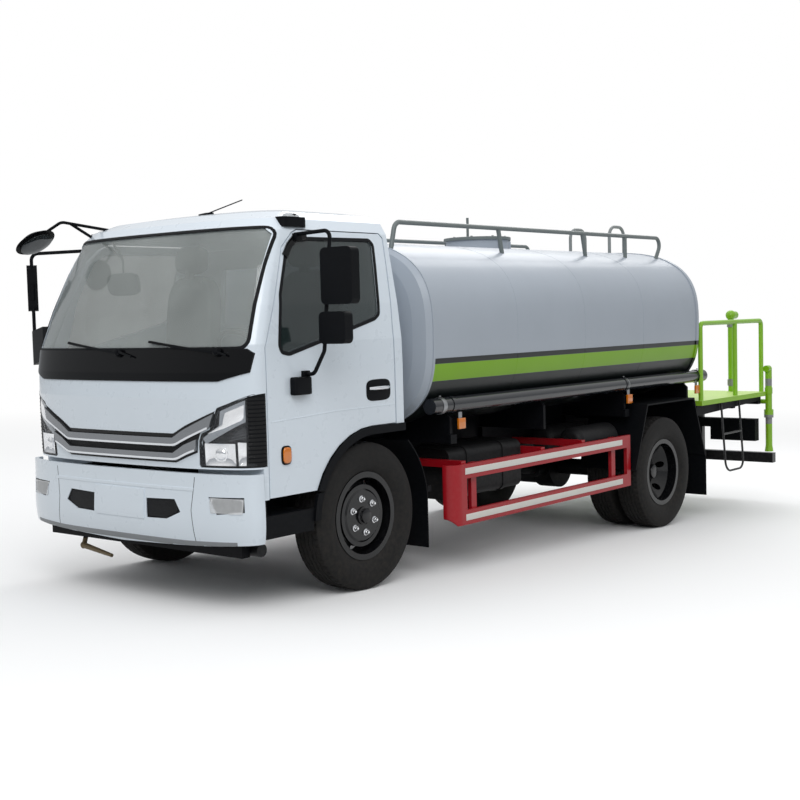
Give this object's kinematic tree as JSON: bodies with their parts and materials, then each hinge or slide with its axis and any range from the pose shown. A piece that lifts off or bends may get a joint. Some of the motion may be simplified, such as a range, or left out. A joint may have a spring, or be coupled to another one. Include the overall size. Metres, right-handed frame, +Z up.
{
  "type": "tanker truck",
  "caption": "Cab-over water tanker truck with an oval side-striped tank, rear work platform, side guards and spray pipes.",
  "frame": {"origin": "centre of the bounding box, on the ground", "axes": "+X to the vehicle's front, +Y to its left, +Z up"},
  "size_m": [7.4053, 2.92, 2.7096],
  "materials": {
    "frame_paint": "satin black chassis paint, dusty",
    "cab_paint": "gloss white paint",
    "black_plastic": "grained black plastic",
    "lamp_lens": "moulded lamp lenses",
    "spray_bar_paint": "dark green paint",
    "cast_block": "grey cast iron",
    "axle_paint": "black paint",
    "tank_metal": "dull aluminium",
    "mudguard_plastic": "matt black plastic",
    "guard_red": "red paint with pale reflective strips",
    "tank_paint": "grey silver paint with dark and green stripes",
    "rail_paint": "grey paint",
    "step_paint": "dark grey paint",
    "tube_plastic": "glossy black plastic tube",
    "green_paint": "bright green paint",
    "pipe_green": "green paint, grey couplings",
    "cab_glass": "lightly tinted glass",
    "gloss_black": "piano black plastic",
    "bright_bars": "satin chrome",
    "headlamp_lens": "clear lens over dark housing",
    "flare_plastic": "grained black plastic",
    "interior_trim": "dark grey trim and cloth",
    "wiper_black": "black paint and rubber",
    "roof_gear_plastic": "black plastic",
    "door_glass": "lightly tinted glass",
    "mirror_plastic": "black plastic and black tube",
    "lid_paint": "grey paint",
    "knuckle_steel": "dark cast steel",
    "tyre_rubber": "black tyre rubber, dusty",
    "wheel_paint": "black wheel paint, bright nuts"
  },
  "bodies": {
    "chassis": {"chassis_frame": "frame_paint", "front_bumper": "cab_paint", "bumper_trim": "black_plastic", "chassis_lamps": "lamp_lens", "front_spray_bar": "spray_bar_paint", "engine_block": "cast_block", "front_axle": "axle_paint", "rear_axle": "axle_paint", "frame_tanks": "tank_metal", "cab_steps": "black_plastic", "mudguards": "mudguard_plastic", "guards": "guard_red", "water_tank": "tank_paint", "tank_top_rails": "rail_paint", "ladders": "step_paint", "hose_tubes": "tube_plastic", "work_platform": "green_paint", "platform_rails": "green_paint", "platform_pipes": "pipe_green"},
    "cab": {"cab_shell": "cab_paint", "cab_glass": "cab_glass", "nose_trim": "gloss_black", "grille_bars": "bright_bars", "headlamps": "headlamp_lens", "arch_flares": "flare_plastic", "cab_interior": "interior_trim", "wipers": "wiper_black", "roof_gear": "roof_gear_plastic", "mirrors_right": "mirror_plastic"},
    "door_left": {"door_left": "cab_paint", "door_glass_left": "door_glass", "mirrors_left": "mirror_plastic"},
    "door_right": {"door_right": "cab_paint", "door_glass_right": "door_glass"},
    "manhole_lid": {"manhole_lid": "lid_paint"},
    "knuckle_left": {"knuckle_left": "knuckle_steel"},
    "knuckle_right": {"knuckle_right": "knuckle_steel"},
    "front_wheel_left": {"front_tyre_left": "tyre_rubber", "front_wheel_left": "wheel_paint"},
    "front_wheel_right": {"front_tyre_right": "tyre_rubber", "front_wheel_right": "wheel_paint"},
    "rear_wheels_left": {"rear_tyres_left": "tyre_rubber", "rear_wheel_left": "wheel_paint"},
    "rear_wheels_right": {"rear_tyres_right": "tyre_rubber", "rear_wheel_right": "wheel_paint"}
  },
  "joints": [
    {"name": "cab_tilt", "type": "hinge", "parent": "chassis", "child": "cab", "pos_m": [3.60725, 0, 0.84497], "axis": [0, 1, 0], "range_deg": [0, 45]},
    {"name": "door_left_swing", "type": "hinge", "parent": "cab", "child": "door_left", "pos_m": [3.36166, 1.05, 1.1187], "axis": [-0.0349, 0, -0.9994], "range_deg": [0, 65]},
    {"name": "door_right_swing", "type": "hinge", "parent": "cab", "child": "door_right", "pos_m": [3.36166, -1.05, 1.1187], "axis": [0.0349, 0, 0.9994], "range_deg": [0, 65]},
    {"name": "steer_left", "type": "hinge", "parent": "chassis", "child": "knuckle_left", "pos_m": [2.45374, 0.76, 0.478], "axis": [0.0349, 0, 0.9994], "range_deg": [-35, 35]},
    {"name": "steer_right", "type": "hinge", "parent": "chassis", "child": "knuckle_right", "pos_m": [2.45374, -0.76, 0.478], "axis": [0.0349, 0, 0.9994], "range_deg": [-35, 35]},
    {"name": "spin_front_left", "type": "hinge", "parent": "knuckle_left", "child": "front_wheel_left", "pos_m": [2.45374, 0.9265, 0.478], "axis": [0, 1, 0], "continuous": true},
    {"name": "spin_front_right", "type": "hinge", "parent": "knuckle_right", "child": "front_wheel_right", "pos_m": [2.45374, -0.9265, 0.478], "axis": [0, 1, 0], "continuous": true},
    {"name": "spin_rear_left", "type": "hinge", "parent": "chassis", "child": "rear_wheels_left", "pos_m": [-1.34626, 1.0415, 0.478], "axis": [0, 1, 0], "continuous": true},
    {"name": "spin_rear_right", "type": "hinge", "parent": "chassis", "child": "rear_wheels_right", "pos_m": [-1.34626, -1.0415, 0.478], "axis": [0, 1, 0], "continuous": true},
    {"name": "lid_hinge", "type": "hinge", "parent": "chassis", "child": "manhole_lid", "pos_m": [-0.47089, 0, 2.48279], "axis": [0, -1, 0], "range_deg": [0, 100]}
  ],
  "couplings": [
    {"joint": "steer_right", "follows": "steer_left", "ratio": 1}
  ]
}
